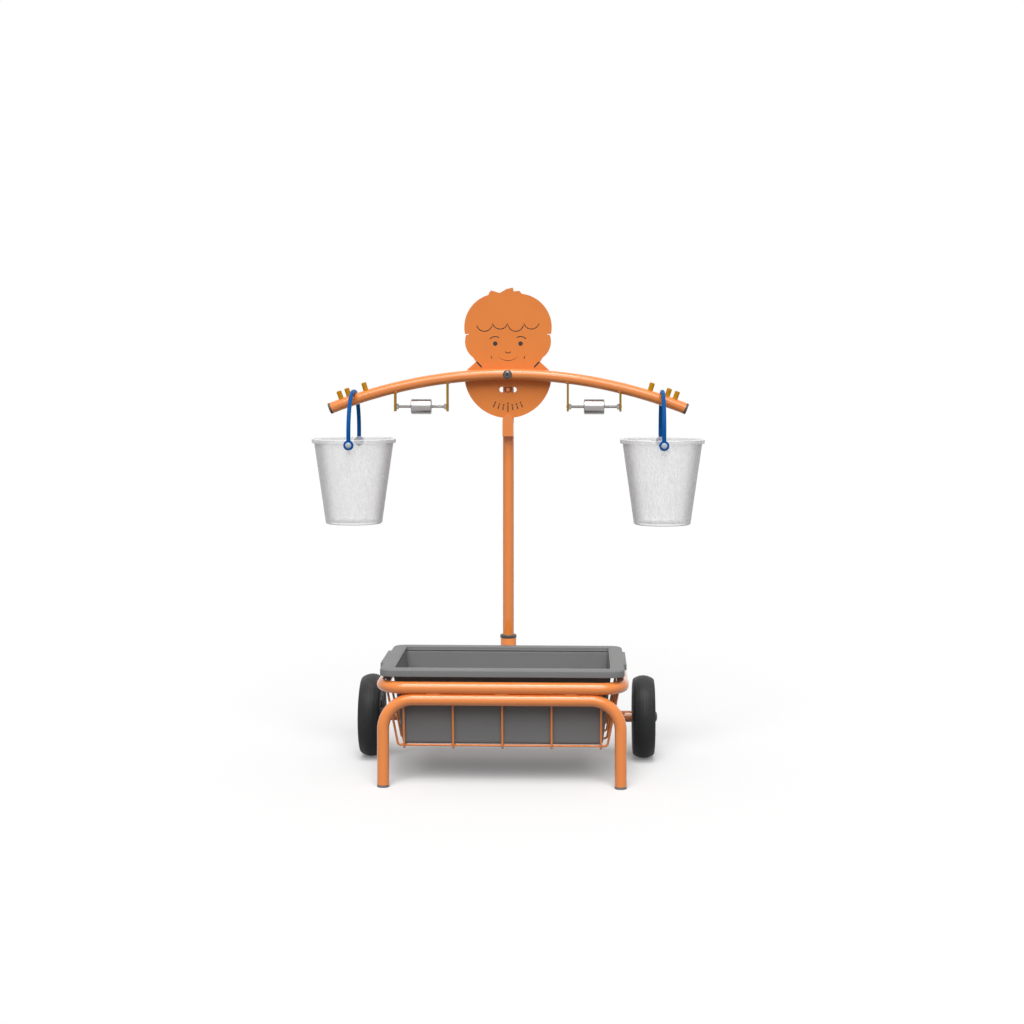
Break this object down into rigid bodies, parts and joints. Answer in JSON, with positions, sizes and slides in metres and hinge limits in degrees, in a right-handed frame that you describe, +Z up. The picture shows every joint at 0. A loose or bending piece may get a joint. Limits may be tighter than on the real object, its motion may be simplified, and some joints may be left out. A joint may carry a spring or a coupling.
{
  "type": "toy scale",
  "caption": "Child's wheeled balance scale: a curved beam with hanging buckets and sliding counterweights on a mast, over a tub in a wire basket on a tube frame.",
  "frame": {"origin": "on the ground, midway between the buckets' outer sides and midway between the front legs' front face and the buckets' rear buttons", "axes": "+Z up; +Y from the front legs to the mast; +X to the right seen from the front, along the beam"},
  "size_m": [1.049, 0.5158, 1.2526],
  "materials": {
    "orange_paint": "powder coated",
    "ochre_paint": "powder coated",
    "zinc_steel": "zinc plated",
    "grey_plastic": "moulded grain",
    "dark_plastic": "moulded",
    "tyre_rubber": "black",
    "sheet_orange": "engraving sheet skin",
    "sheet_core": "engraving sheet core",
    "blue_plastic": "moulded",
    "frosted_plastic": "frosted, translucent",
    "clear_plastic": "moulded"
  },
  "bodies": {
    "frame": {"leg_hoop": "orange_paint", "foot_caps": "grey_plastic", "ring_frame": "orange_paint", "basket_long_wires": "orange_paint", "basket_cross_wires": "orange_paint", "axle_struts": "orange_paint", "axle_tube": "orange_paint", "axle_rod": "zinc_steel", "axle_caps": "dark_plastic", "socket_tube": "orange_paint", "socket_collar": "dark_plastic", "lock_screw": "zinc_steel", "mast_tube": "orange_paint", "mast_cap": "dark_plastic", "mast_sleeve": "zinc_steel", "stop_pin": "orange_paint", "pointer": "orange_paint", "pivot_bolt": "zinc_steel", "pivot_nut": "zinc_steel"},
    "tub": {"tub": "grey_plastic"},
    "wheel_left": {"tyre_left": "tyre_rubber", "rim_left": "grey_plastic"},
    "wheel_right": {"tyre_right": "tyre_rubber", "rim_right": "grey_plastic"},
    "balance": {"beam_tube": "orange_paint", "beam_caps": "dark_plastic", "beam_pegs": "ochre_paint", "beam_sleeve": "zinc_steel", "plate_front": "sheet_orange", "plate_core": "sheet_core", "plate_back": "sheet_orange", "plate_bosses": "orange_paint", "plate_screws": "zinc_steel", "hangers": "ochre_paint", "weight_rods": "zinc_steel", "rod_nuts": "zinc_steel"},
    "weight_left": {"weight_left": "zinc_steel"},
    "weight_right": {"weight_right": "zinc_steel"},
    "handle_left": {"handle_left": "blue_plastic"},
    "handle_right": {"handle_right": "blue_plastic"},
    "bucket_left": {"bucket_left": "frosted_plastic", "buttons_left": "clear_plastic"},
    "bucket_right": {"bucket_right": "frosted_plastic", "buttons_right": "clear_plastic"}
  },
  "joints": [
    {"name": "tub_lift", "type": "slide", "parent": "frame", "child": "tub", "axis": [0, 0, 1], "range_m": [0, 0.18]},
    {"name": "balance_swing", "type": "hinge", "parent": "frame", "child": "balance", "pos_m": [0, 0.1328, 1.0206], "axis": [0, 1, 0], "range_deg": [-20, 20]},
    {"name": "wheel_left_spin", "type": "hinge", "parent": "frame", "child": "wheel_left", "pos_m": [-0.3625, 0.12029, 0.109], "axis": [1, 0, 0], "continuous": true},
    {"name": "weight_left_slide", "type": "slide", "parent": "balance", "child": "weight_left", "axis": [1, 0, 0], "range_m": [-0.033, 0.033]},
    {"name": "handle_left_swing", "type": "hinge", "parent": "balance", "child": "handle_left", "pos_m": [-0.412, 0.1328, 0.97443], "axis": [0, 1, 0], "range_deg": [-15, 15]},
    {"name": "bucket_left_swing", "type": "hinge", "parent": "handle_left", "child": "bucket_left", "pos_m": [-0.412, 0.1328, 0.83643], "axis": [0, 1, 0], "range_deg": [-15, 15]},
    {"name": "wheel_right_spin", "type": "hinge", "parent": "frame", "child": "wheel_right", "pos_m": [0.3625, 0.12029, 0.109], "axis": [1, 0, 0], "continuous": true},
    {"name": "weight_right_slide", "type": "slide", "parent": "balance", "child": "weight_right", "axis": [1, 0, 0], "range_m": [-0.033, 0.033]},
    {"name": "handle_right_swing", "type": "hinge", "parent": "balance", "child": "handle_right", "pos_m": [0.412, 0.1328, 0.97443], "axis": [0, 1, 0], "range_deg": [-15, 15]},
    {"name": "bucket_right_swing", "type": "hinge", "parent": "handle_right", "child": "bucket_right", "pos_m": [0.412, 0.1328, 0.83643], "axis": [0, 1, 0], "range_deg": [-15, 15]}
  ]
}
